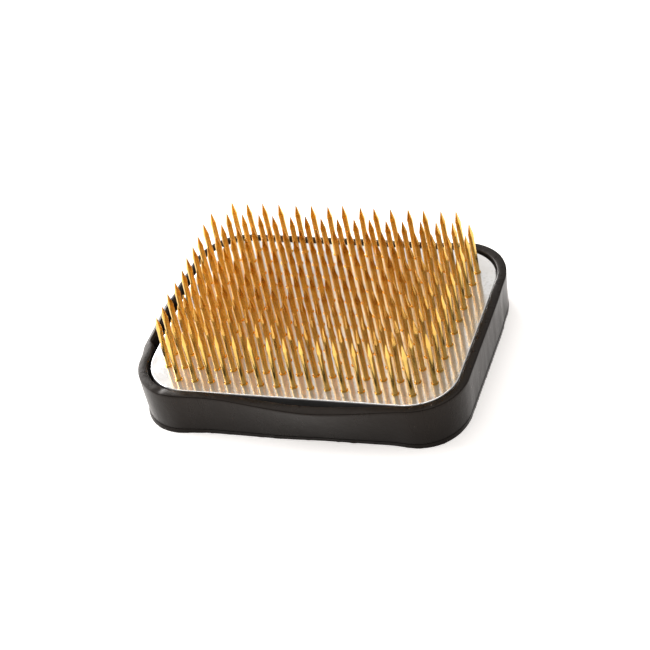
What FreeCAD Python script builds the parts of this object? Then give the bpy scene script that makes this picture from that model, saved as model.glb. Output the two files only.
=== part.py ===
import FreeCAD, Part
import math
import os
import Sketcher

# Flower frog (pin holder): a lead-alloy plate full of brass pins, lying in a loose rubber ring.
# Millimetres. +Z is up, X runs along the long side and -Y is the front. The origin is on the table,
# under the middle of the ring, and every piece is modelled where it lies when the frog is in use.

SIZES = (
    ("plate_width", 74.2, "lead plate along X"),
    ("plate_depth", 55.4, "lead plate along Y"),
    ("plate_thickness", 8.8, "lead plate along Z"),
    ("plate_corner_radius", 11.2, "upright corners of the plate"),
    ("plate_edge_round", 0.35, "rounding of the plate's top edge"),
    ("plate_foot_bevel", 0.5, "bevel around the plate's underside"),
    ("ring_clearance", 0.25, "gap between the plate's side and the ring"),
    ("ring_slack", 1.4, "how far the middle of each long side of the ring bows out"),
    ("ring_wall", 2.2, "thickness of the ring's wall at its rim"),
    ("ring_wall_taper", 0.8, "how much thinner the wall is at its foot"),
    ("ring_rim_rise", 0.5, "height of the rim above the plate's top face"),
    ("ring_rim_round", 0.4, "rounding of the rim's two edges"),
    ("ring_ledge_width", 3.2, "how far the ledge reaches in under the plate"),
    ("ring_ledge_thickness", 1.8, "thickness of the ledge that the plate lies on"),
    ("ring_bead_height", 1.2, "height of the bead around the ring's foot"),
    ("ring_bead_reach", 0.25, "how far the bead stands out from the wall's foot"),
    ("pin_columns", 17, "pins along X"),
    ("pin_rows", 12, "pins along Y"),
    ("pin_margin_side", 5.1, "from the plate's side to the first column of pins"),
    ("pin_margin_front", 3.775, "from the plate's front to the first row of pins"),
    ("pin_diameter", 1.32, "shank and tail"),
    ("pin_height", 14.3, "from the plate's top face to the tip"),
    ("pin_point_length", 3.1, "conical point"),
    ("pin_shoulder_step", 0.06, "how far the shoulder under the point stands out"),
    ("pin_shoulder_length", 0.6, "length of the shoulder"),
    ("pin_tip_diameter", 0.16, "blunt end of the point"),
    ("pin_collar_diameter", 1.76, "collar that seats on the plate"),
    ("pin_collar_thickness", 0.26, "height of the collar"),
    ("pin_collar_bevel", 0.1, "bevel of the collar's upper edge"),
    ("pin_tail_length", 5.2, "part of the pin inside the plate"),
    ("socket_clearance", 0.02, "gap all round the tail in its socket"),
    ("socket_end_gap", 0.3, "empty depth under the tail"),
)

# What the sizes add up to, as expressions of the sheet's cells.
PLATE_TOP = "(Sizes.ring_ledge_thickness + Sizes.plate_thickness)"
CORNER_CENTRE_X = "(Sizes.plate_width / 2 - Sizes.plate_corner_radius)"
CORNER_CENTRE_Y = "(Sizes.plate_depth / 2 - Sizes.plate_corner_radius)"
RING_INNER_X = "(Sizes.plate_width / 2 + Sizes.ring_clearance)"
RING_CORNER_RADIUS = "(Sizes.plate_corner_radius + Sizes.ring_clearance)"
RING_TOP = f"({PLATE_TOP} + Sizes.ring_rim_rise)"
RING_WALL_FOOT = "(Sizes.ring_wall - Sizes.ring_wall_taper)"
RING_BEAD_X = f"({RING_INNER_X} + {RING_WALL_FOOT} + Sizes.ring_bead_reach)"
# A long side is an arc tangent to both corners: half its chord is CORNER_CENTRE_X, its rise the slack.
RING_LONG_SIDE_RADIUS = (
    f"({RING_CORNER_RADIUS} + ({CORNER_CENTRE_X} ^ 2 + Sizes.ring_slack ^ 2) / (2 * Sizes.ring_slack))"
)
PIN_RADIUS = "(Sizes.pin_diameter / 2)"
SHOULDER_RADIUS = "(Sizes.pin_diameter / 2 + Sizes.pin_shoulder_step)"
SHOULDER_TOP = "(Sizes.pin_height - Sizes.pin_point_length)"
COLLAR_RADIUS = "(Sizes.pin_collar_diameter / 2)"
SOCKET_RADIUS = "(Sizes.pin_diameter / 2 + Sizes.socket_clearance)"
SOCKET_DEPTH = "(Sizes.pin_tail_length + Sizes.socket_end_gap)"
FIRST_COLUMN_X = "(Sizes.pin_margin_side - Sizes.plate_width / 2)"
FIRST_ROW_Y = "(Sizes.pin_margin_front - Sizes.plate_depth / 2)"
PITCH_X = "((Sizes.plate_width - 2 * Sizes.pin_margin_side) / (Sizes.pin_columns - 1))"
PITCH_Y = "((Sizes.plate_depth - 2 * Sizes.pin_margin_front) / (Sizes.pin_rows - 1))"

ORIGIN_POINT = (-1, 1)
X_AXIS = -1
Y_AXIS = -2
START = 1
END = 2
CENTRE = 3


def size_sheet(doc):
    """The sheet of driving sizes: in each row a name, a plain number and what it measures."""
    sheet = doc.addObject("Spreadsheet::Sheet", "Sizes")
    for row, (name, value, meaning) in enumerate(SIZES, start=1):
        sheet.set(f"A{row}", name)
        sheet.set(f"B{row}", str(value))
        sheet.set(f"C{row}", meaning)
        sheet.setAlias(f"B{row}", name)
    doc.recompute()
    return sheet


def new_body(doc, label, x="0", y="0", z="0"):
    """An empty body named after its piece, placed by three expressions."""
    body = doc.addObject("PartDesign::Body", label)
    body.Label = label
    for axis, text in zip("xyz", (x, y, z)):
        body.setExpression(f"Placement.Base.{axis}", text)
    return body


def origin_feature(body, role):
    """The body's own origin plane or axis with this role."""
    return next(item for item in body.Origin.OriginFeatures if item.Role == role)


def new_sketch(body, name, plane):
    """An empty sketch on one of the body's own origin planes."""
    sketch = body.newObject("Sketcher::SketchObject", name)
    sketch.AttachmentSupport = [(origin_feature(body, plane), "")]
    sketch.MapMode = "FlatFace"
    return sketch


def new_feature(body, kind, name, profile=None, **sizes):
    """A PartDesign feature on a profile, its sizes bound to expressions, as the body's tip."""
    feature = body.newObject(f"PartDesign::{kind}", name)
    if profile:
        feature.Profile = profile
    for prop, text in sizes.items():
        feature.setExpression(prop, text)
    body.Tip = feature
    return feature


def dimension(sketch, kind, elements, guess, text):
    """A dimension that starts from a guess and is bound to an expression."""
    number = sketch.addConstraint(Sketcher.Constraint(kind, *elements, guess))
    sketch.setExpression(f"Constraints[{number}]", text)


def add_outline(sketch, corners):
    """A closed outline of straight edges; each corner is two expressions, with "0" for on the axis."""
    count = len(corners)
    guesses = [FreeCAD.Vector(i, i * i, 0) for i in range(count)]
    for i, start in enumerate(guesses):
        sketch.addGeometry(Part.LineSegment(start, guesses[(i + 1) % count]))
    for i, (x, y) in enumerate(corners):
        sketch.addConstraint(Sketcher.Constraint("Coincident", i, END, (i + 1) % count, START))
        for kind, axis, text in (("DistanceX", Y_AXIS, x), ("DistanceY", X_AXIS, y)):
            if text == "0":
                sketch.addConstraint(Sketcher.Constraint("PointOnObject", i, START, axis))
            else:
                dimension(sketch, kind, (*ORIGIN_POINT, i, START), 1.0, text)


def add_rounded_rectangle(sketch, sheet, clearance, radius, slack=0.0, long_side_radius=None):
    """A rounded rectangle about the plate's corner centres, run through counter-clockwise.

    Even edges are corners and odd edges are sides. clearance and slack only start the solver off;
    radius, and long_side_radius for long sides that bow out, are the expressions that hold.
    """
    guess = sheet.plate_corner_radius + clearance
    centre_x = sheet.plate_width / 2 - sheet.plate_corner_radius
    centre_y = sheet.plate_depth / 2 - sheet.plate_corner_radius
    signs = ((1, 1), (-1, 1), (-1, -1), (1, -1))
    arcs = []
    for i, (sign_x, sign_y) in enumerate(signs):
        middle = FreeCAD.Vector(sign_x * centre_x, sign_y * centre_y, 0)
        circle = Part.Circle(middle, FreeCAD.Vector(0, 0, 1), guess)
        arcs.append(Part.ArcOfCircle(circle, i * math.pi / 2, (i + 1) * math.pi / 2))
    for i, (sign_x, sign_y) in enumerate(signs):
        sketch.addGeometry(arcs[i])
        start = arcs[i].EndPoint
        end = arcs[(i + 1) % 4].StartPoint
        if long_side_radius and i % 2 == 0:
            crown = FreeCAD.Vector(0, sign_y * (centre_y + guess + slack), 0)
            sketch.addGeometry(Part.Arc(start, crown, end))
        else:
            sketch.addGeometry(Part.LineSegment(start, end))
    dimension(sketch, "Radius", (0,), guess, radius)
    for i, (sign_x, sign_y) in enumerate(signs):
        corner, side, next_corner = 2 * i, 2 * i + 1, (2 * i + 2) % 8
        sketch.addConstraint(Sketcher.Constraint("Tangent", corner, END, side, START))
        sketch.addConstraint(Sketcher.Constraint("Tangent", side, END, next_corner, START))
        centre = (*ORIGIN_POINT, corner, CENTRE)
        dimension(sketch, "DistanceX", centre, sign_x * centre_x, f"{sign_x} * {CORNER_CENTRE_X}")
        dimension(sketch, "DistanceY", centre, sign_y * centre_y, f"{sign_y} * {CORNER_CENTRE_Y}")
        if i:
            sketch.addConstraint(Sketcher.Constraint("Equal", 0, corner))
        if long_side_radius and i % 2 == 0:
            flat_radius = guess + (centre_x ** 2 + slack ** 2) / (2 * slack)
            dimension(sketch, "Radius", (side,), flat_radius, long_side_radius)


def edges_at(shape, height):
    """Names of the edges that lie in the level plane at this height."""
    return [
        f"Edge{number}"
        for number, edge in enumerate(shape.Edges, start=1)
        if all(abs(z - height) < 1e-6 for z in (edge.BoundBox.ZMin, edge.BoundBox.ZMax))
    ]


def dress_edges(body, kind, name, base, height, prop, text):
    """A Fillet or Chamfer on every edge of the base feature that lies at this height."""
    dressing = new_feature(body, kind, name)
    dressing.Base = (base, edges_at(base.Shape, height))
    dressing.setExpression(prop, text)
    return dressing


def rubber_ring(doc, sheet):
    """The moulded ring: one L-shaped section with a foot bead, swept around the plate."""
    body = new_body(doc, "rubber_ring")
    spine = new_sketch(body, "RingSpine", "XY_Plane")
    add_rounded_rectangle(
        spine, sheet, sheet.ring_clearance, RING_CORNER_RADIUS, sheet.ring_slack, RING_LONG_SIDE_RADIUS
    )
    section = new_sketch(body, "RingSection", "XZ_Plane")
    ledge_x = f"({RING_INNER_X} - Sizes.ring_ledge_width)"
    foot_x = f"({RING_INNER_X} + {RING_WALL_FOOT})"
    add_outline(
        section,
        (
            (ledge_x, "0"),
            (RING_BEAD_X, "0"),
            (RING_BEAD_X, "Sizes.ring_bead_height"),
            (foot_x, "Sizes.ring_bead_height"),
            (f"({RING_INNER_X} + Sizes.ring_wall)", RING_TOP),
            (RING_INNER_X, RING_TOP),
            (RING_INNER_X, "Sizes.ring_ledge_thickness"),
            (ledge_x, "Sizes.ring_ledge_thickness"),
        ),
    )
    doc.recompute()
    sweep = new_feature(body, "AdditivePipe", "RingSweep", section)
    sweep.Spine = (spine, [])
    doc.recompute()
    top = sheet.ring_ledge_thickness + sheet.plate_thickness + sheet.ring_rim_rise
    dress_edges(body, "Fillet", "RingRim", sweep, top, "Radius", "Sizes.ring_rim_round")
    return body


def add_sockets(body, name, hole_x, hole_y, columns, column_pitch, rows):
    """A grid of blind sockets, patterned from its front left one."""
    sketch = new_sketch(body, f"{name}Outline", "XY_Plane")
    sketch.setExpression("AttachmentOffset.Base.z", "Sizes.plate_thickness")
    sketch.addGeometry(Part.Circle(FreeCAD.Vector(-1, -1, 0), FreeCAD.Vector(0, 0, 1), 0.5))
    dimension(sketch, "Radius", (0,), 0.5, SOCKET_RADIUS)
    dimension(sketch, "DistanceX", (*ORIGIN_POINT, 0, CENTRE), -1.0, hole_x)
    dimension(sketch, "DistanceY", (*ORIGIN_POINT, 0, CENTRE), -1.0, hole_y)
    pocket = new_feature(body, "Pocket", name, sketch, Length=SOCKET_DEPTH)
    grid = body.newObject("PartDesign::LinearPattern", f"{name}Grid")
    grid.Originals = [pocket]
    grid.Direction = (origin_feature(body, "X_Axis"), [""])
    grid.Direction2 = (origin_feature(body, "Y_Axis"), [""])
    grid.setExpression("Length", f"({columns} - 1) * {column_pitch}")
    grid.setExpression("Length2", f"({rows} - 1) * {PITCH_Y}")
    grid.setExpression("Occurrences", columns)
    grid.setExpression("Occurrences2", rows)
    body.Tip = grid


def base_plate(doc, sheet):
    """The cast lead-alloy plate, with one blind socket for each pin."""
    body = new_body(doc, "base_plate", z="Sizes.ring_ledge_thickness")
    outline = new_sketch(body, "PlateOutline", "XY_Plane")
    add_rounded_rectangle(outline, sheet, 0.0, "Sizes.plate_corner_radius")
    slab = new_feature(body, "Pad", "PlateSlab", outline, Length="Sizes.plate_thickness")
    doc.recompute()
    rounded = dress_edges(
        body, "Fillet", "PlateEdge", slab, sheet.plate_thickness, "Radius", "Sizes.plate_edge_round"
    )
    doc.recompute()
    dress_edges(body, "Chamfer", "PlateFoot", rounded, 0.0, "Size", "Sizes.plate_foot_bevel")
    doc.recompute()
    # The outer two columns lack their end pins, so the corners of the grid stay empty.
    add_sockets(
        body, "Socket", f"{FIRST_COLUMN_X} + {PITCH_X}", FIRST_ROW_Y,
        "(Sizes.pin_columns - 2)", PITCH_X, "Sizes.pin_rows",
    )
    full_width = f"(Sizes.pin_columns - 1) * {PITCH_X}"
    add_sockets(
        body, "SideSocket", FIRST_COLUMN_X, f"{FIRST_ROW_Y} + {PITCH_Y}",
        "2", full_width, "(Sizes.pin_rows - 2)",
    )
    return body


def pin_group(doc, label, row, first_column, count):
    """A run of alike pins along one row: each is one turned piece with its tail in the plate."""
    x = f"{FIRST_COLUMN_X} + {first_column} * {PITCH_X}"
    y = f"{FIRST_ROW_Y} + {row} * {PITCH_Y}"
    body = new_body(doc, label, x, y, PLATE_TOP)
    body.AllowCompound = True
    profile = new_sketch(body, f"{label}_profile", "XZ_Plane")
    add_outline(
        profile,
        (
            ("0", "-Sizes.pin_tail_length"),
            (PIN_RADIUS, "-Sizes.pin_tail_length"),
            (PIN_RADIUS, "0"),
            (COLLAR_RADIUS, "0"),
            (COLLAR_RADIUS, "(Sizes.pin_collar_thickness - Sizes.pin_collar_bevel)"),
            (f"({COLLAR_RADIUS} - Sizes.pin_collar_bevel)", "Sizes.pin_collar_thickness"),
            (PIN_RADIUS, "Sizes.pin_collar_thickness"),
            (PIN_RADIUS, f"({SHOULDER_TOP} - Sizes.pin_shoulder_length)"),
            (SHOULDER_RADIUS, SHOULDER_TOP),
            ("(Sizes.pin_tip_diameter / 2)", "Sizes.pin_height"),
            ("0", "Sizes.pin_height"),
        ),
    )
    pin = new_feature(body, "Revolution", f"{label}_pin", profile)
    pin.ReferenceAxis = (profile, ["V_Axis"])
    pin.Angle = 360
    run = body.newObject("PartDesign::LinearPattern", f"{label}_run")
    run.Originals = [pin]
    run.Direction = (origin_feature(body, "X_Axis"), [""])
    run.setExpression("Length", f"{count - 1} * {PITCH_X}")
    run.Occurrences = count
    body.Tip = run
    return body


def pin_groups(doc, sheet):
    """Every row of pins, front to back, each in a left and a right half."""
    columns = int(sheet.pin_columns)
    rows = int(sheet.pin_rows)
    half = columns // 2
    groups = []
    for row in range(rows):
        skipped = 1 if row in (0, rows - 1) else 0
        name = f"pins_row_{row + 1:02d}"
        groups.append(pin_group(doc, f"{name}_left", row, skipped, half - skipped))
        groups.append(pin_group(doc, f"{name}_right", row, half, columns - half - skipped))
    return groups


def check_document(doc, pieces):
    """Stop if an object failed to compute, or a piece has no valid shape."""
    failed = [item.Name for item in doc.Objects if {"Invalid", "Error"} & set(item.State)]
    bad = [piece.Label for piece in pieces if piece.Shape.isNull() or not piece.Shape.isValid()]
    if failed or bad:
        raise RuntimeError(f"failed objects {failed}, invalid pieces {bad}")


def main():
    doc = FreeCAD.newDocument("FlowerFrog")
    sheet = size_sheet(doc)
    pieces = [rubber_ring(doc, sheet), base_plate(doc, sheet), *pin_groups(doc, sheet)]
    doc.recompute()
    check_document(doc, pieces)
    os.makedirs("parts", exist_ok=True)
    for piece in pieces:
        piece.Shape.exportStep(f"parts/{piece.Label}.step")
        box = piece.Shape.BoundBox
        print(
            f"{piece.Label}: {len(piece.Shape.Solids)} solids, {piece.Shape.Volume:.2f} mm3, "
            f"x {box.XMin:.2f}..{box.XMax:.2f}, y {box.YMin:.2f}..{box.YMax:.2f}, "
            f"z {box.ZMin:.2f}..{box.ZMax:.2f}"
        )


main()
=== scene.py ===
import logging
import math
import random
from dataclasses import dataclass, field
from enum import Enum

import bpy
from mathutils import Euler, Matrix, Vector, noise


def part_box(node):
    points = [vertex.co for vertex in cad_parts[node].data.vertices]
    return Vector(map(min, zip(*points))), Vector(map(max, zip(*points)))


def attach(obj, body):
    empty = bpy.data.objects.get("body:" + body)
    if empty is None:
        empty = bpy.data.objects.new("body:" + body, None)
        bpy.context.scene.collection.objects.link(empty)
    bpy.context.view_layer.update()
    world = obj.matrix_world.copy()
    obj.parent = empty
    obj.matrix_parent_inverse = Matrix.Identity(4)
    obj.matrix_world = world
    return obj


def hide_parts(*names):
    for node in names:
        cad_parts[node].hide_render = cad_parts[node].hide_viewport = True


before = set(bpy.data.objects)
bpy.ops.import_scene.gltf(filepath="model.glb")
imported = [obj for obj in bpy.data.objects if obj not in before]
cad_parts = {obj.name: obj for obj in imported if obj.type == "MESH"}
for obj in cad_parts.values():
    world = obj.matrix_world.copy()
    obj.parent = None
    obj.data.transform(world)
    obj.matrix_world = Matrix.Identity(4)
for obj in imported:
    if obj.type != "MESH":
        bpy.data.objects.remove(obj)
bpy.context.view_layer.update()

MM = 0.001
TINY = 0.000001
NOISE_LOW = 0.3
NOISE_HIGH = 0.7
PIN_TONE = "pin_tone"
log = logging.getLogger("flower_frog")


class Side(Enum):
    """A half of a row of pins."""

    LEFT = "left"
    RIGHT = "right"


# ---------------------------------------------------------------------------------------------
# Helpers for modelling by hand in edit mode
# ---------------------------------------------------------------------------------------------


def deselect_everything() -> None:
    """Leave edit mode and clear the selection, so that an operator acts on new work only."""
    if bpy.context.object and bpy.context.object.mode != "OBJECT":
        bpy.ops.object.mode_set(mode="OBJECT")
    bpy.ops.object.select_all(action="DESELECT")


def start_editing(piece: bpy.types.Object, select_mode: str = "FACE") -> None:
    """Enter edit mode on one piece alone, with nothing in it selected.

    Args:
        piece: the mesh object to edit.
        select_mode: VERT, EDGE or FACE.
    """
    deselect_everything()
    bpy.context.view_layer.objects.active = piece
    piece.select_set(True)
    bpy.ops.object.mode_set(mode="EDIT")
    bpy.ops.mesh.select_mode(type=select_mode)
    bpy.ops.mesh.select_all(action="DESELECT")


def select_where(piece: bpy.types.Object, kind: str, test) -> None:
    """Select the vertices, edges or faces whose middle passes a test.

    Args:
        piece: the mesh object that is in edit mode.
        kind: "vertices", "edges" or "polygons".
        test: a function of the element's middle point.
    """
    bpy.ops.mesh.select_all(action="DESELECT")
    bpy.ops.object.mode_set(mode="OBJECT")
    mesh = piece.data
    for element in getattr(mesh, kind):
        if kind == "vertices":
            middle = element.co
        else:
            corners = [mesh.vertices[index].co for index in element.vertices]
            middle = sum(corners, Vector()) / len(corners)
        element.select = bool(test(middle))
    bpy.ops.object.mode_set(mode="EDIT")


def settle(piece: bpy.types.Object) -> None:
    """Leave edit mode and put the piece's place into its mesh."""
    deselect_everything()
    bpy.context.view_layer.objects.active = piece
    piece.select_set(True)
    bpy.ops.object.transform_apply(location=True, rotation=True, scale=True)
    bpy.ops.object.select_all(action="DESELECT")


def smooth_by_angle(piece: bpy.types.Object, degrees: float) -> None:
    """Shade a piece smooth, with a crease wherever two faces meet at more than an angle."""
    deselect_everything()
    bpy.context.view_layer.objects.active = piece
    piece.select_set(True)
    bpy.ops.object.shade_smooth_by_angle(angle=math.radians(degrees))
    bpy.ops.object.select_all(action="DESELECT")


# ---------------------------------------------------------------------------------------------
# Shader building
# ---------------------------------------------------------------------------------------------


class NodeBench:
    """A small bench for wiring a node tree from left to right."""

    def __init__(self, tree: bpy.types.NodeTree) -> None:
        """Keep the tree that the nodes go into."""
        self.tree = tree

    def add(self, kind: str, **settings) -> bpy.types.Node:
        """Add a node and set its properties.

        Args:
            kind: the node's type, such as ShaderNodeTexNoise.
            settings: properties of the node by name.

        Returns:
            The new node.
        """
        node = self.tree.nodes.new(kind)
        for name, value in settings.items():
            setattr(node, name, value)
        return node

    def link(self, source: bpy.types.NodeSocket, target: bpy.types.NodeSocket) -> None:
        """Join an output socket to an input socket."""
        self.tree.links.new(source, target)

    def noise(
        self, vector, scale: float, detail: float = 3.0, roughness: float = 0.5
    ) -> bpy.types.NodeSocket:
        """Add a 3-D noise texture on a vector and return its value from 0 to 1."""
        node = self.add("ShaderNodeTexNoise")
        node.inputs["Scale"].default_value = scale
        node.inputs["Detail"].default_value = detail
        node.inputs["Roughness"].default_value = roughness
        self.link(vector, node.inputs["Vector"])
        return node.outputs["Fac"]

    def ramp(
        self, value, low: float, high: float, out_low: float = 0.0, out_high: float = 1.0
    ) -> bpy.types.NodeSocket:
        """Map a value's range from low to high onto another range, clamped at both ends."""
        node = self.add("ShaderNodeMapRange")
        node.inputs["From Min"].default_value = low
        node.inputs["From Max"].default_value = high
        node.inputs["To Min"].default_value = out_low
        node.inputs["To Max"].default_value = out_high
        self.link(value, node.inputs["Value"])
        return node.outputs["Result"]

    def math(self, operation: str, a, b) -> bpy.types.NodeSocket:
        """Combine two values, each a socket or a number, by a Math operation."""
        node = self.add("ShaderNodeMath", operation=operation)
        for socket, value in zip(node.inputs, (a, b)):
            if isinstance(value, (int, float)):
                socket.default_value = value
            else:
                self.link(value, socket)
        return node.outputs["Value"]

    def blend(self, factor, first, second) -> bpy.types.NodeSocket:
        """Mix two colours, each a socket or an RGB tuple, by a factor socket."""
        node = self.add("ShaderNodeMix", data_type="RGBA")
        self.link(factor, node.inputs["Factor"])
        for name, value in (("A", first), ("B", second)):
            socket = next(s for s in node.inputs if s.name == name and s.type == "RGBA")
            if isinstance(value, tuple):
                socket.default_value = (*value, 1.0)
            else:
                self.link(value, socket)
        return next(s for s in node.outputs if s.type == "RGBA")

    def object_coordinates(
        self, stretch: tuple[float, float, float] = (1.0, 1.0, 1.0)
    ) -> bpy.types.NodeSocket:
        """Object coordinates, stretched along each axis."""
        place = self.add("ShaderNodeTexCoord")
        mapping = self.add("ShaderNodeMapping")
        mapping.inputs["Scale"].default_value = stretch
        self.link(place.outputs["Object"], mapping.inputs["Vector"])
        return mapping.outputs["Vector"]

    def height(self, vector) -> bpy.types.NodeSocket:
        """Take the height out of a place."""
        place = self.add("ShaderNodeSeparateXYZ")
        self.link(vector, place.inputs["Vector"])
        return place.outputs["Z"]

    def gloss(self, value, low: float, high: float) -> bpy.types.NodeSocket:
        """Spread the middle of a noise's values over a range of roughness."""
        return self.ramp(value, NOISE_LOW, NOISE_HIGH, low, high)

    def bump(self, height, strength: float) -> bpy.types.NodeSocket:
        """Turn a height in metres into a bumped normal."""
        node = self.add("ShaderNodeBump")
        node.inputs["Strength"].default_value = strength
        node.inputs["Distance"].default_value = 1.0
        self.link(height, node.inputs["Height"])
        return node.outputs["Normal"]


def new_material(name: str) -> tuple[bpy.types.Material, NodeBench, bpy.types.Node]:
    """Start a material that has one Principled shader.

    Args:
        name: the material's name.

    Returns:
        The material, a bench on its tree and its Principled node.
    """
    material = bpy.data.materials.new(name)
    material.use_nodes = True
    material.node_tree.nodes.clear()
    bench = NodeBench(material.node_tree)
    shader = bench.add("ShaderNodeBsdfPrincipled")
    output = bench.add("ShaderNodeOutputMaterial")
    bench.link(shader.outputs["BSDF"], output.inputs["Surface"])
    return material, bench, shader


def surface_wear_group() -> bpy.types.ShaderNodeTree:
    """Build the shared effect of handling: broad patches, fine grain and sparse specks.

    Returns:
        A node group with a Vector and scales in, and Patches, Grain and Specks masks out.
    """
    group = bpy.data.node_groups.new("surface_wear", "ShaderNodeTree")
    interface = group.interface
    interface.new_socket(name="Vector", in_out="INPUT", socket_type="NodeSocketVector")
    for name in ("Patch Scale", "Grain Scale", "Speck Scale"):
        interface.new_socket(name=name, in_out="INPUT", socket_type="NodeSocketFloat")
    for name in ("Patches", "Grain", "Specks"):
        interface.new_socket(name=name, in_out="OUTPUT", socket_type="NodeSocketFloat")
    bench = NodeBench(group)
    entry = bench.add("NodeGroupInput")
    leave = bench.add("NodeGroupOutput")
    for scale_name, mask_name, detail in (("Patch Scale", "Patches", 4.0), ("Grain Scale", "Grain", 2.0)):
        clouds = bench.add("ShaderNodeTexNoise")
        clouds.inputs["Detail"].default_value = detail
        bench.link(entry.outputs["Vector"], clouds.inputs["Vector"])
        bench.link(entry.outputs[scale_name], clouds.inputs["Scale"])
        bench.link(clouds.outputs["Fac"], leave.inputs[mask_name])
    cells = bench.add("ShaderNodeTexVoronoi", feature="F1")
    bench.link(entry.outputs["Vector"], cells.inputs["Vector"])
    bench.link(entry.outputs["Speck Scale"], cells.inputs["Scale"])
    speck_radius, speck_edge = 0.04, 0.07
    near = bench.ramp(cells.outputs["Distance"], speck_radius, speck_edge, 1.0, 0.0)
    lottery = bench.noise(cells.outputs["Position"], scale=37.0, detail=0.0)
    chosen = bench.ramp(lottery, 0.60, 0.64)
    bench.link(bench.math("MULTIPLY", near, chosen), leave.inputs["Specks"])
    return group


def place_wear(
    bench: NodeBench, group: bpy.types.ShaderNodeTree, vector, scales: dict[str, float]
) -> bpy.types.Node:
    """Put the shared wear group into a material.

    Args:
        bench: the material's bench.
        group: the wear group.
        vector: the coordinates that the effect lies on.
        scales: the scale of each effect that the material uses, by its socket's name.

    Returns:
        The group's node.
    """
    node = bench.add("ShaderNodeGroup")
    node.node_tree = group
    bench.link(vector, node.inputs["Vector"])
    for name, scale in scales.items():
        node.inputs[name].default_value = scale
    return node


@dataclass(frozen=True)
class BlackRubber:
    """Moulded black rubber, glossy at a low angle, with painted shade darkening its foot."""

    # Painted shade: the foot's colour is darker than the upper wall's, standing in for the contact shadow.
    foot_shade: tuple[float, float, float] = (0.0030, 0.0023, 0.0019)
    upper_wall: tuple[float, float, float] = (0.0125, 0.0098, 0.0080)
    speck: tuple[float, float, float] = (0.34, 0.28, 0.24)
    warm_gloss: tuple[float, float, float] = (1.0, 0.86, 0.77)
    roughness_low: float = 0.24
    roughness_high: float = 0.37
    ior: float = 1.25
    haze: float = 0.08
    haze_roughness: float = 0.3
    patch_scale: float = 70.0
    grain_scale: float = 2600.0
    speck_scale: float = 420.0
    lump_scale: float = 420.0
    pull_stretch: float = 0.12
    # Painted shade: the darkening at the foot fades out between these shares of the ring's height.
    shade_fade_start: float = 0.05
    shade_fade_end: float = 0.9
    grain_depth: float = 0.02 * MM
    lump_depth: float = 0.07 * MM
    bump_strength: float = 0.8

    def build(self, wear: bpy.types.ShaderNodeTree) -> bpy.types.Material:
        """Build the material and return it."""
        material, bench, shader = new_material("black_rubber")
        vector = bench.object_coordinates()
        scales = {
            "Patch Scale": self.patch_scale,
            "Grain Scale": self.grain_scale,
            "Speck Scale": self.speck_scale,
        }
        effect = place_wear(bench, wear, vector, scales)
        shader.inputs["IOR"].default_value = self.ior
        shader.inputs["Specular Tint"].default_value = (*self.warm_gloss, 1.0)
        shader.inputs["Sheen Weight"].default_value = self.haze
        shader.inputs["Sheen Roughness"].default_value = self.haze_roughness
        shader.inputs["Sheen Tint"].default_value = (*self.warm_gloss, 1.0)
        bench.link(self.colour(bench, vector, effect), shader.inputs["Base Color"])
        upright = bench.object_coordinates((1.0, 1.0, self.pull_stretch))
        pulled = bench.noise(upright, self.lump_scale, roughness=0.55)
        satin = bench.gloss(pulled, self.roughness_low, self.roughness_high)
        bench.link(satin, shader.inputs["Roughness"])
        grain = bench.math("MULTIPLY", effect.outputs["Grain"], self.grain_depth)
        uneven = bench.noise(vector, self.lump_scale, roughness=0.55)
        lumps = bench.math("MULTIPLY", uneven, self.lump_depth)
        relief = bench.math("ADD", grain, lumps)
        bench.link(bench.bump(relief, self.bump_strength), shader.inputs["Normal"])
        return material

    def colour(self, bench: NodeBench, vector, effect: bpy.types.Node) -> bpy.types.NodeSocket:
        """Darken the wall towards its foot as painted shade, paler in soft patches higher up, and lay grit
        here and there.
        """
        _, ring_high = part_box("rubber_ring")
        # Painted shade: the colour is darkest at the foot and pales with height, broken by random patches.
        shade_line, shade_top = self.shade_fade_start * ring_high.z, self.shade_fade_end * ring_high.z
        high = bench.ramp(bench.height(vector), shade_line, shade_top)
        patches = bench.ramp(effect.outputs["Patches"], 0.35, 0.68, 0.6, 1.0)
        foot_shaded = bench.blend(bench.math("MULTIPLY", high, patches), self.foot_shade, self.upper_wall)
        return bench.blend(effect.outputs["Specks"], foot_shaded, self.speck)


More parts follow.
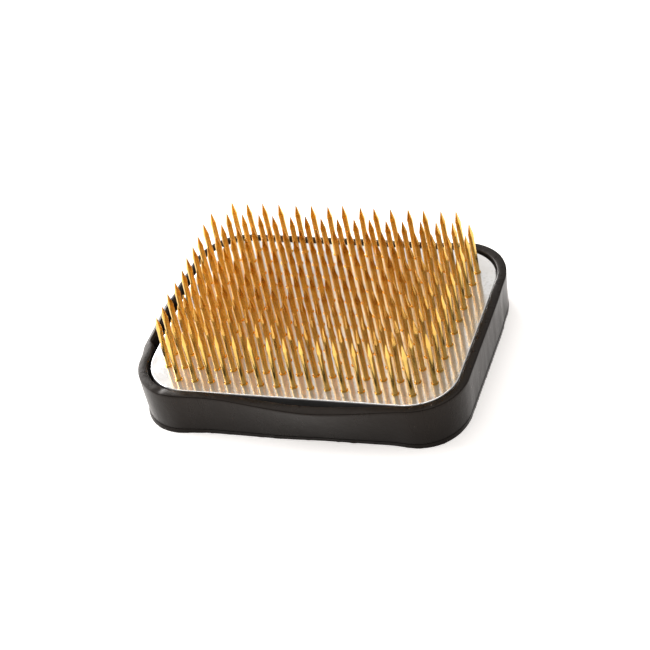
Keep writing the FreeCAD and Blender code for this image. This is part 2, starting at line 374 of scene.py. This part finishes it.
@dataclass(frozen=True)
class PolishedLead:
    """Lead alloy, rubbed bright on the top; the sides and the underside are rougher and darkened by painted
    shade.
    """

    pale: tuple[float, float, float] = (0.92, 0.905, 0.89)
    dull: tuple[float, float, float] = (0.74, 0.71, 0.67)
    # Painted shade: the sides and the underside take these dark colours, where the plate's edge lies in
    # shadow.
    shaded_side_light: tuple[float, float, float] = (0.30, 0.295, 0.29)
    shaded_side_dark: tuple[float, float, float] = (0.20, 0.195, 0.19)
    top_edge_depth: float = 0.35 * MM
    roughness_low: float = 0.08
    roughness_high: float = 0.17
    cast_roughness: float = 0.52
    metallic: float = 0.72
    patch_scale: float = 120.0
    grain_scale: float = 1500.0
    gloss_scale: float = 240.0
    ripple_scale: float = 330.0
    ripple_depth: float = 0.05 * MM
    grain_depth: float = 0.006 * MM
    bump_strength: float = 0.7

    def build(self, wear: bpy.types.ShaderNodeTree) -> bpy.types.Material:
        """Build the material and return it."""
        material, bench, shader = new_material("polished_lead")
        vector = bench.object_coordinates()
        scales = {"Patch Scale": self.patch_scale, "Grain Scale": self.grain_scale}
        effect = place_wear(bench, wear, vector, scales)
        patches = bench.ramp(effect.outputs["Patches"], 0.42, 0.68, 0.0, 0.7)
        mottle = bench.ramp(effect.outputs["Grain"], 0.48, 0.66, 0.0, 0.8)
        rubbed = bench.blend(bench.math("MAXIMUM", patches, mottle), self.pale, self.dull)
        # Painted shade on the sides and the underside, darker than the top.
        shaded_sides = bench.blend(patches, self.shaded_side_light, self.shaded_side_dark)
        top = self.top_mask(bench, vector)
        bench.link(bench.blend(top, shaded_sides, rubbed), shader.inputs["Base Color"])
        shader.inputs["Metallic"].default_value = self.metallic
        rubbing = bench.noise(vector, self.gloss_scale, detail=4.0, roughness=0.6)
        satin = bench.gloss(rubbing, self.roughness_low, self.roughness_high)
        below = bench.math("MULTIPLY", bench.math("SUBTRACT", 1.0, top), self.cast_roughness)
        bench.link(bench.math("ADD", satin, below), shader.inputs["Roughness"])
        ripple = bench.math("MULTIPLY", bench.noise(vector, self.ripple_scale), self.ripple_depth)
        grain = bench.math("MULTIPLY", effect.outputs["Grain"], self.grain_depth)
        relief = bench.math("ADD", ripple, grain)
        bench.link(bench.bump(relief, self.bump_strength), shader.inputs["Normal"])
        return material

    def top_mask(self, bench: NodeBench, vector) -> bpy.types.NodeSocket:
        """A mask that is 1 on the plate's top and 0 from just under its edge downwards."""
        top = max(corner[2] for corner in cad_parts["base_plate"].bound_box)
        return bench.ramp(bench.height(vector), top - self.top_edge_depth, top - self.top_edge_depth / 2)


@dataclass(frozen=True)
class BrassPin:
    """Drawn brass wire, warm gold, a little darker on some pins than on others."""

    gold: tuple[float, float, float] = (0.83, 0.525, 0.145)
    amber: tuple[float, float, float] = (0.63, 0.375, 0.09)
    roughness_low: float = 0.15
    roughness_high: float = 0.27
    patch_scale: float = 450.0
    patch_share: float = 0.45
    tone_share: float = 0.55
    streak_scale: float = 4200.0
    streak_stretch: float = 0.06
    streak_depth: float = 0.008 * MM
    bump_strength: float = 0.5

    def build(self, wear: bpy.types.ShaderNodeTree) -> bpy.types.Material:
        """Build the material and return it."""
        material, bench, shader = new_material("brass_pin")
        drawn = bench.object_coordinates((1.0, 1.0, self.streak_stretch))
        scales = {"Patch Scale": self.patch_scale}
        effect = place_wear(bench, wear, bench.object_coordinates(), scales)
        tone = bench.add("ShaderNodeAttribute", attribute_name=PIN_TONE)
        patches = bench.ramp(effect.outputs["Patches"], 0.35, 0.7)
        patch_part = bench.math("MULTIPLY", patches, self.patch_share)
        tone_part = bench.math("MULTIPLY", tone.outputs["Fac"], self.tone_share)
        factor = bench.math("ADD", patch_part, tone_part)
        bench.link(bench.blend(factor, self.gold, self.amber), shader.inputs["Base Color"])
        shader.inputs["Metallic"].default_value = 1.0
        streaks = bench.noise(drawn, self.streak_scale, detail=2.0)
        satin = bench.gloss(streaks, self.roughness_low, self.roughness_high)
        bench.link(satin, shader.inputs["Roughness"])
        scratches = bench.math("MULTIPLY", streaks, self.streak_depth)
        bench.link(bench.bump(scratches, self.bump_strength), shader.inputs["Normal"])
        return material


# ---------------------------------------------------------------------------------------------
# The rubber ring
# ---------------------------------------------------------------------------------------------


@dataclass(frozen=True)
class Stretch:
    """A length of the slack ring that lies out of true, most at its middle.

    The middle is a place seen from above, and every size is in millimetres. Reach is how far the
    effect runs each way along the ring, and ramp is how much of that it takes to come in.
    """

    middle: tuple[float, float]
    reach: float
    ramp: float
    rim_out: float = 0.0
    foot_out: float = 0.0
    flange: float = 0.0
    rise: float = 0.0
    thinning: float = 0.0

    def weight(self, distance: float) -> float:
        """How much of the effect is left at a distance in millimetres along the ring."""
        share = min(1.0, max(0.0, (self.reach - abs(distance)) / self.ramp))
        return share * share * (3 - 2 * share)


SLACK = {
    "front bow": Stretch((5.0, -28.0), 27.0, 27.0, rim_out=2.25, foot_out=0.2, rise=-0.15),
    "front foot": Stretch((-16.0, -28.0), 24.0, 12.0, foot_out=0.4),
    "front left corner": Stretch((-34.0, -28.5), 13.0, 13.0, rim_out=0.35, foot_out=0.8, flange=0.35),
    "front right corner": Stretch((34.0, -28.0), 11.0, 11.0, rim_out=0.1, foot_out=0.75, flange=0.2),
    "left side": Stretch((-37.5, -6.0), 12.0, 5.0, rim_out=0.85, foot_out=0.3),
    "back left corner": Stretch((-35.0, 22.0), 16.0, 12.0, rim_out=-0.7, foot_out=-0.4),
    "back": Stretch((-2.0, 28.0), 31.0, 9.0, rim_out=-0.9, foot_out=-0.3, rise=0.2),
    "thin lip": Stretch((-23.4, 28.0), 50.8, 1.8, thinning=1.1),
    "back right corner": Stretch((37.5, 18.0), 9.0, 8.0, rim_out=-0.25, foot_out=-0.35),
    "crease": Stretch((-30.6, -27.4), 1.1, 1.1, rise=-0.2),
}


@dataclass
class RubberRing:
    """The loose rubber ring: an L-shaped section led around the plate, then pushed out of true."""

    finish: bpy.types.Material
    clearance: float = 0.25 * MM
    least_gap: float = 0.06 * MM
    wall: float = 2.2 * MM
    wall_taper: float = 0.8 * MM
    rim_bevel: float = 0.28 * MM
    ledge_width: float = 3.2 * MM
    ledge_thickness: float = 1.8 * MM
    bead_height: float = 1.1 * MM
    bead_reach: float = 0.08 * MM
    foot_bevel: float = 0.3 * MM
    corner_radius: float = 10.75 * MM
    wall_rows: int = 10
    step: float = 0.65 * MM
    lean_power: float = 1.5
    lip_power: float = 2.6
    waviness: float = 0.12 * MM
    wave_length: float = 13.0 * MM
    flash: float = 0.25 * MM
    flash_length: float = 1.3 * MM
    flash_threshold: float = 0.15
    crease_degrees: float = 38.0
    piece: bpy.types.Object = field(init=False)

    def __post_init__(self) -> None:
        """Read the ring's place and size from the frame."""
        _, plate_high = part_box("base_plate")
        ring_low, ring_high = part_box("rubber_ring")
        self.inner_x = plate_high.x + self.clearance
        self.inner_y = plate_high.y + self.clearance
        self.foot = ring_low.z
        self.top = ring_high.z
        self.centre_x = self.inner_x - self.corner_radius
        self.centre_y = self.inner_y - self.corner_radius
        self.quarter_turn = self.corner_radius * math.pi / 2
        self.length = 4 * (self.centre_x + self.centre_y + self.quarter_turn)
        self.slack = [(self.along(Vector((*s.middle, 0.0)) * MM), s) for s in SLACK.values()]

    def build(self) -> bpy.types.Object:
        """Model the ring and return it."""
        self.piece = self.section()
        self.lead_around()
        self.push_out_of_true()
        self.dress()
        return self.piece

    def section(self) -> bpy.types.Object:
        """Draw the section as a flat sheet across the middle of the right side.

        Returns:
            The new object, with one flat L-shaped sheet in it.
        """
        deselect_everything()
        middle = Vector((self.inner_x + self.wall / 2, 0.0, (self.foot + self.top) / 2))
        bpy.ops.mesh.primitive_plane_add(size=1.0, location=middle, rotation=(math.pi / 2, 0.0, 0.0))
        piece = bpy.context.object
        piece.name = "rubber_ring_skin"
        piece.scale = (self.wall, self.top - self.foot, 1.0)
        settle(piece)
        start_editing(piece, "EDGE")
        bead_top = self.foot + self.bead_height
        ledge_top = self.foot + self.ledge_thickness
        row = (self.top - ledge_top) / self.wall_rows
        for height in (bead_top, ledge_top, *(ledge_top + row * k for k in range(1, self.wall_rows))):
            bpy.ops.mesh.select_all(action="SELECT")
            bpy.ops.mesh.bisect(plane_co=(0.0, 0.0, height), plane_no=(0.0, 0.0, 1.0))
        outer = self.inner_x + self.wall
        self.lean_outer_edge(piece, outer)
        select_where(piece, "edges", lambda p: p.x < self.inner_x + TINY and p.z < ledge_top)
        bpy.ops.mesh.extrude_region_move(TRANSFORM_OT_translate={"value": (-self.ledge_width, 0.0, 0.0)})
        foot_x = outer - self.wall_taper
        select_where(piece, "edges", lambda p: p.x > foot_x - TINY and p.z < bead_top)
        bpy.ops.mesh.extrude_region_move(TRANSFORM_OT_translate={"value": (self.bead_reach, 0.0, 0.0)})
        self.round_corners(piece, lambda p: p.x > foot_x + TINY and p.z < self.foot + TINY, self.foot_bevel)
        self.round_corners(piece, lambda p: p.z > self.top - TINY, self.rim_bevel)
        bpy.ops.object.mode_set(mode="OBJECT")
        return piece

    def lean_outer_edge(self, piece: bpy.types.Object, outer: float) -> None:
        """Slope the wall's outer edge in towards its foot.

        Args:
            piece: the section.
            outer: where the edge stands at the rim.
        """
        lean = self.wall_taper / (self.top - self.foot)
        bpy.ops.object.mode_set(mode="OBJECT")
        for vertex in piece.data.vertices:
            if vertex.co.x > outer - TINY:
                vertex.co.x -= lean * (self.top - vertex.co.z)
        bpy.ops.object.mode_set(mode="EDIT")

    def round_corners(self, piece: bpy.types.Object, test, radius: float) -> None:
        """Round the section's corners that pass a test.

        Args:
            piece: the section, in edit mode.
            test: a function of a corner's place.
            radius: how much is taken off each side.
        """
        select_where(piece, "vertices", test)
        bpy.ops.mesh.bevel(offset=radius, segments=3, affect="VERTICES", offset_type="OFFSET")

    def lead_around(self) -> None:
        """Sweep the section along the four sides and round the four corners, and close the ring."""
        start_editing(self.piece)
        bpy.ops.mesh.select_all(action="SELECT")
        half_side = self.centre_y
        half_front = self.centre_x
        arc_steps = round(self.quarter_turn / self.step)
        path = (
            (Vector((0.0, half_side, 0.0)), (1, 1)),
            (Vector((-2 * half_front, 0.0, 0.0)), (-1, 1)),
            (Vector((0.0, -2 * half_side, 0.0)), (-1, -1)),
            (Vector((2 * half_front, 0.0, 0.0)), (1, -1)),
            (Vector((0.0, half_side, 0.0)), None),
        )
        for run, corner in path:
            steps = round(run.length / self.step)
            for _ in range(steps):
                bpy.ops.mesh.extrude_region_move(TRANSFORM_OT_translate={"value": run / steps})
            if corner:
                centre = (corner[0] * half_front, corner[1] * half_side, 0.0)
                bpy.ops.mesh.spin(
                    steps=arc_steps, angle=-math.pi / 2, dupli=False, center=centre, axis=(0, 0, 1)
                )
        bpy.ops.mesh.delete(type="FACE")
        bpy.ops.mesh.select_all(action="SELECT")
        bpy.ops.mesh.remove_doubles(threshold=TINY)
        bpy.ops.mesh.normals_make_consistent(inside=False)
        bpy.ops.object.mode_set(mode="OBJECT")

    def core(self, point: Vector) -> Vector:
        """The nearest place to a point on the rectangle that joins the corners' centres."""
        x = min(self.centre_x, max(-self.centre_x, point.x))
        y = min(self.centre_y, max(-self.centre_y, point.y))
        return Vector((x, y, point.z))

    def along(self, point: Vector) -> float:
        """How far round the ring a point lies, anticlockwise from the middle of the right side."""
        core = self.core(point)
        out = point - core
        turned = math.atan2(out.y, out.x) % math.tau
        front, side = self.centre_x, self.centre_y
        passed = (
            core.y,
            side + front - core.x,
            2 * (side + front) - core.y,
            3 * (side + front) + core.x,
            4 * (side + front) + core.y,
        )
        return (passed[round(turned / (math.pi / 2))] + turned * self.corner_radius) % self.length

    def push_out_of_true(self) -> None:
        """Move every point of the true ring to where the slack rubber lies."""
        for vertex in self.piece.data.vertices:
            vertex.co = self.slack_place(vertex.co)
        self.piece.data.update()

    def slack_place(self, point: Vector) -> Vector:
        """Where a point of the true ring lies once the rubber has gone slack.

        Args:
            point: a point of the ring as it was led around.

        Returns:
            The point's new place.
        """
        core = self.core(point)
        depth = (point - core).length - self.corner_radius
        out = (point - core).normalized()
        place = self.along(point)
        height = min(1.0, max(0.0, (point.z - self.foot) / (self.top - self.foot)))
        foot_out = rim_out = rise = thinning = flange = 0.0
        for middle, stretch in self.slack:
            distance = (place - middle + self.length / 2) % self.length - self.length / 2
            weight = stretch.weight(distance / MM) * MM
            foot_out += weight * stretch.foot_out
            rim_out += weight * stretch.rim_out
            rise += weight * stretch.rise
            thinning += weight * stretch.thinning
            flange += weight * stretch.flange
        shift = foot_out + (rim_out - foot_out) * height**self.lean_power
        shift += self.waviness * height * noise.noise(point / self.wave_length)
        if -TINY < depth < self.wall / 3:
            shift = max(shift + thinning * height**self.lip_power, self.least_gap - self.clearance)
        elif depth > 0.0 and point.z < self.foot + self.bead_height - TINY:
            ragged = noise.noise(point / self.flash_length) - self.flash_threshold
            shift += flange + self.flash * max(0.0, ragged)
        steepness = self.lean_power * height ** (self.lean_power - 1) / (self.top - self.foot)
        tilt = (rim_out - foot_out) * steepness
        moved = point + out * shift
        moved.z = max(self.foot, point.z + rise * height**2 - max(0.0, tilt * depth))
        return moved

    def dress(self) -> None:
        """Shade the ring, give it its finish and tie it to the frame."""
        settle(self.piece)
        smooth_by_angle(self.piece, self.crease_degrees)
        self.piece.data.materials.clear()
        self.piece.data.materials.append(self.finish)
        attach(self.piece, "ring")
        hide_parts("rubber_ring")


# ---------------------------------------------------------------------------------------------
# The plate and its pins
# ---------------------------------------------------------------------------------------------


@dataclass
class LeadPlate:
    """The lead-alloy plate, whose shape is the frame's own."""

    finish: bpy.types.Material

    def build(self) -> bpy.types.Object:
        """Give the plate its finish and return it."""
        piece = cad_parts["base_plate"]
        piece.data.materials.clear()
        piece.data.materials.append(self.finish)
        return piece


@dataclass
class PinBed:
    """The bed of brass pins: one pin modelled once, and copied to each place with its own lean."""

    finish: bpy.types.Material
    columns: int = 17
    rows: int = 12
    margin_side: float = 5.1 * MM
    margin_front: float = 3.775 * MM
    diameter: float = 1.32 * MM
    point_length: float = 3.1 * MM
    shoulder_step: float = 0.06 * MM
    shoulder_length: float = 0.6 * MM
    tip_diameter: float = 0.16 * MM
    collar_diameter: float = 1.76 * MM
    collar_thickness: float = 0.26 * MM
    collar_bevel: float = 0.1 * MM
    facets: int = 12
    crease_degrees: float = 35.0
    lean_degrees: float = 0.7
    seed: int = 12

    def __post_init__(self) -> None:
        """Read the plate's outline and the pins' heights from the frame."""
        plate_low, plate_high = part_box("base_plate")
        pin_low, pin_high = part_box("pins_row_01_left")
        self.plate_top = plate_high.z
        self.tail = self.plate_top - pin_low.z
        self.height = pin_high.z - self.plate_top
        self.first_x = plate_low.x + self.margin_side
        self.first_y = plate_low.y + self.margin_front
        self.pitch_x = (plate_high.x - plate_low.x - 2 * self.margin_side) / (self.columns - 1)
        self.pitch_y = (plate_high.y - plate_low.y - 2 * self.margin_front) / (self.rows - 1)
        self.chance = random.Random(self.seed)

    def build(self) -> list[bpy.types.Object]:
        """Model every group of pins.

        Returns:
            One object for each half of each row.
        """
        master = self.master_pin()
        half = self.columns // 2
        groups = []
        for row in range(self.rows):
            skipped = 1 if row in (0, self.rows - 1) else 0
            spans = {Side.LEFT: range(skipped, half), Side.RIGHT: range(half, self.columns - skipped)}
            for side, columns in spans.items():
                groups.append(self.group(master, row, side, columns))
        bpy.data.objects.remove(master)
        return groups

    def master_pin(self) -> bpy.types.Object:
        """Turn one pin: tail, collar, shank, shoulder and point.

        Returns:
            A pin that stands at the origin with its collar's seat at height zero.
        """
        deselect_everything()
        radius = self.diameter / 2
        bpy.ops.mesh.primitive_cylinder_add(
            vertices=self.facets, radius=radius, depth=self.tail, location=(0.0, 0.0, -self.tail / 2)
        )
        pin = bpy.context.object
        pin.name = "pin"
        settle(pin)
        start_editing(pin)
        select_where(pin, "polygons", lambda p: p.z > -TINY)
        collar = self.collar_diameter / 2
        shoulder = radius + self.shoulder_step
        point_start = self.height - self.point_length
        rings = (
            (0.0, collar),
            (self.collar_thickness - self.collar_bevel, collar),
            (self.collar_thickness, collar - self.collar_bevel),
            (self.collar_thickness, radius),
            (point_start - self.shoulder_length, radius),
            (point_start, shoulder),
            (self.height, self.tip_diameter / 2),
        )
        level, width = 0.0, radius
        for ring_level, ring_width in rings:
            lift = (0.0, 0.0, ring_level - level)
            bpy.ops.mesh.extrude_region_move(TRANSFORM_OT_translate={"value": lift})
            ratio = ring_width / width
            bpy.ops.transform.resize(value=(ratio, ratio, 1.0), center_override=(0.0, 0.0, ring_level))
            level, width = ring_level, ring_width
        bpy.ops.object.mode_set(mode="OBJECT")
        smooth_by_angle(pin, self.crease_degrees)
        return pin

    def group(self, master: bpy.types.Object, row: int, side: Side, columns: range) -> bpy.types.Object:
        """Copy the pin along one half of a row and join the copies.

        Args:
            master: the pin to copy.
            row: the row, counted from the front.
            side: which half of the row this is.
            columns: the columns that hold a pin.

        Returns:
            One object with its own mesh.
        """
        copies = []
        for column in columns:
            copy = bpy.data.objects.new("pin_copy", master.data.copy())
            bpy.context.scene.collection.objects.link(copy)
            self.set_pin(copy.data, self.first_x + column * self.pitch_x, self.first_y + row * self.pitch_y)
            copies.append(copy)
        deselect_everything()
        for copy in copies:
            copy.select_set(True)
        bpy.context.view_layer.objects.active = copies[0]
        bpy.ops.object.join()
        group = bpy.context.object
        node = f"pins_row_{row + 1:02d}_{side.value}"
        group.name = f"{node}_brass"
        group.data.materials.clear()
        group.data.materials.append(self.finish)
        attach(group, "pin_plate")
        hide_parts(node)
        return group

    def set_pin(self, mesh: bpy.types.Mesh, x: float, y: float) -> None:
        """Turn a copy about its axis, lean it above its collar, and stand it at its place.

        Args:
            mesh: the copy's own mesh.
            x: the pin's place along the row.
            y: the pin's row.
        """
        mesh.transform(Matrix.Rotation(self.chance.uniform(0, math.tau), 4, "Z"))
        lean_x = math.radians(self.chance.gauss(0.0, self.lean_degrees))
        lean_y = math.radians(self.chance.gauss(0.0, self.lean_degrees))
        lean = Euler((lean_y, lean_x, 0.0)).to_matrix()
        for vertex in mesh.vertices:
            if vertex.co.z > self.collar_thickness - TINY:
                vertex.co = lean @ vertex.co
        mesh.transform(Matrix.Translation((x, y, self.plate_top)))
        tone = mesh.attributes.new(PIN_TONE, "FLOAT", "POINT")
        shade = self.chance.random()
        collar_top = self.plate_top + self.collar_thickness - TINY
        tone.data.foreach_set("value", [shade if v.co.z > collar_top else 0.0 for v in mesh.vertices])


# ---------------------------------------------------------------------------------------------
# The studio
# ---------------------------------------------------------------------------------------------


@dataclass(frozen=True)
class PaleTable:
    """A plain pale table top, lit a little from below."""

    top: tuple[float, float, float] = (0.88, 0.865, 0.85)
    glow: tuple[float, float, float] = (1.0, 0.96, 0.93)
    glow_strength: float = 0.6
    roughness: float = 0.9

    def build(self) -> bpy.types.Material:
        """Build the material and return it."""
        material, _, shader = new_material("pale_floor")
        shader.inputs["Base Color"].default_value = (*self.top, 1.0)
        shader.inputs["Emission Color"].default_value = (*self.glow, 1.0)
        shader.inputs["Emission Strength"].default_value = self.glow_strength
        shader.inputs["Roughness"].default_value = self.roughness
        shader.inputs["Specular IOR Level"].default_value = 0.0
        return material


@dataclass(frozen=True)
class SoftBox:
    """A square soft light that faces the holder, in metres and watts."""

    name: str
    place: tuple[float, float, float]
    side: float
    power: float

    def hang(self) -> None:
        """Hang the light at its place."""
        light = bpy.data.lights.new(self.name, "AREA")
        light.shape = "SQUARE"
        light.size = self.side
        light.energy = self.power
        lamp = bpy.data.objects.new(self.name, light)
        bpy.context.scene.collection.objects.link(lamp)
        lamp.location = self.place
        lamp.rotation_euler = (-Vector(self.place)).to_track_quat("-Z", "Y").to_euler()


SOFT_BOXES = (
    SoftBox("back_box", (-0.52, 1.13, 0.99), side=1.6, power=4.0),
    SoftBox("low_box", (-1.06, 1.05, 0.57), side=0.8, power=26.0),
    SoftBox("left_box", (-1.35, 0.2, 0.7), side=1.1, power=24.0),
    SoftBox("top_box", (-0.2, 0.3, 1.9), side=1.6, power=14.0),
)


@dataclass
class Studio:
    """A plain pale table, soft lights, an even sky and the camera."""

    azimuth: float = 24.72
    elevation: float = 38.53
    roll: float = 12.65
    distance: float = 0.5697
    lens: float = 136.07
    film_width: float = 36.0
    aim_right: float = 0.20 * MM
    aim_down: float = 1.44 * MM
    table_side: float = 6.0
    table_drop: float = 0.02 * MM
    sky_strength: float = 0.3

    def build(self) -> None:
        """Set the floor, the lights, the sky and the camera."""
        bpy.context.scene.view_settings.view_transform = "Standard"
        self.floor()
        self.sky()
        for box in SOFT_BOXES:
            box.hang()
        self.camera()

    def floor(self) -> None:
        """Lay the table just under the ring's foot."""
        deselect_everything()
        bpy.ops.mesh.primitive_plane_add(size=self.table_side, location=(0.0, 0.0, -self.table_drop))
        floor = bpy.context.object
        floor.name = "floor"
        floor.data.materials.append(PaleTable().build())

    def sky(self) -> None:
        """Fill the shadows with even white light."""
        world = bpy.data.worlds.new("studio_sky")
        world.use_nodes = True
        background = world.node_tree.nodes["Background"]
        background.inputs["Color"].default_value = (1.0, 1.0, 1.0, 1.0)
        background.inputs["Strength"].default_value = self.sky_strength
        bpy.context.scene.world = world

    def camera(self) -> None:
        """Aim the camera at the plate's middle from its direction, turned by its roll."""
        azimuth, elevation, roll = (math.radians(a) for a in (self.azimuth, self.elevation, self.roll))
        back = Vector(
            (
                math.sin(azimuth) * math.cos(elevation),
                -math.cos(azimuth) * math.cos(elevation),
                math.sin(elevation),
            )
        )
        level_right = Vector((math.cos(azimuth), math.sin(azimuth), 0.0))
        level_up = back.cross(level_right)
        right = math.cos(roll) * level_right - math.sin(roll) * level_up
        up = math.cos(roll) * level_up + math.sin(roll) * level_right
        _, plate_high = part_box("base_plate")
        aim = Vector((0.0, 0.0, plate_high.z)) + self.aim_right * right - self.aim_down * up
        data = bpy.data.cameras.new("camera")
        data.lens = self.lens
        data.sensor_width = self.film_width
        camera = bpy.data.objects.new("camera", data)
        bpy.context.scene.collection.objects.link(camera)
        turn = Matrix((right, up, back)).transposed()
        camera.matrix_world = Matrix.Translation(aim + self.distance * back) @ turn.to_4x4()
        bpy.context.scene.camera = camera


def main() -> None:
    """Build the studio and every piece of the flower frog."""
    logging.basicConfig(level=logging.INFO, format="%(message)s")
    Studio().build()
    wear = surface_wear_group()
    ring = RubberRing(BlackRubber().build(wear)).build()
    plate = LeadPlate(PolishedLead().build(wear)).build()
    pins = PinBed(BrassPin().build(wear)).build()
    pieces = [ring, plate, *pins]
    for piece in pieces:
        log.info("%s: %d faces", piece.name, len(piece.data.polygons))


if __name__ == "__main__":
    main()
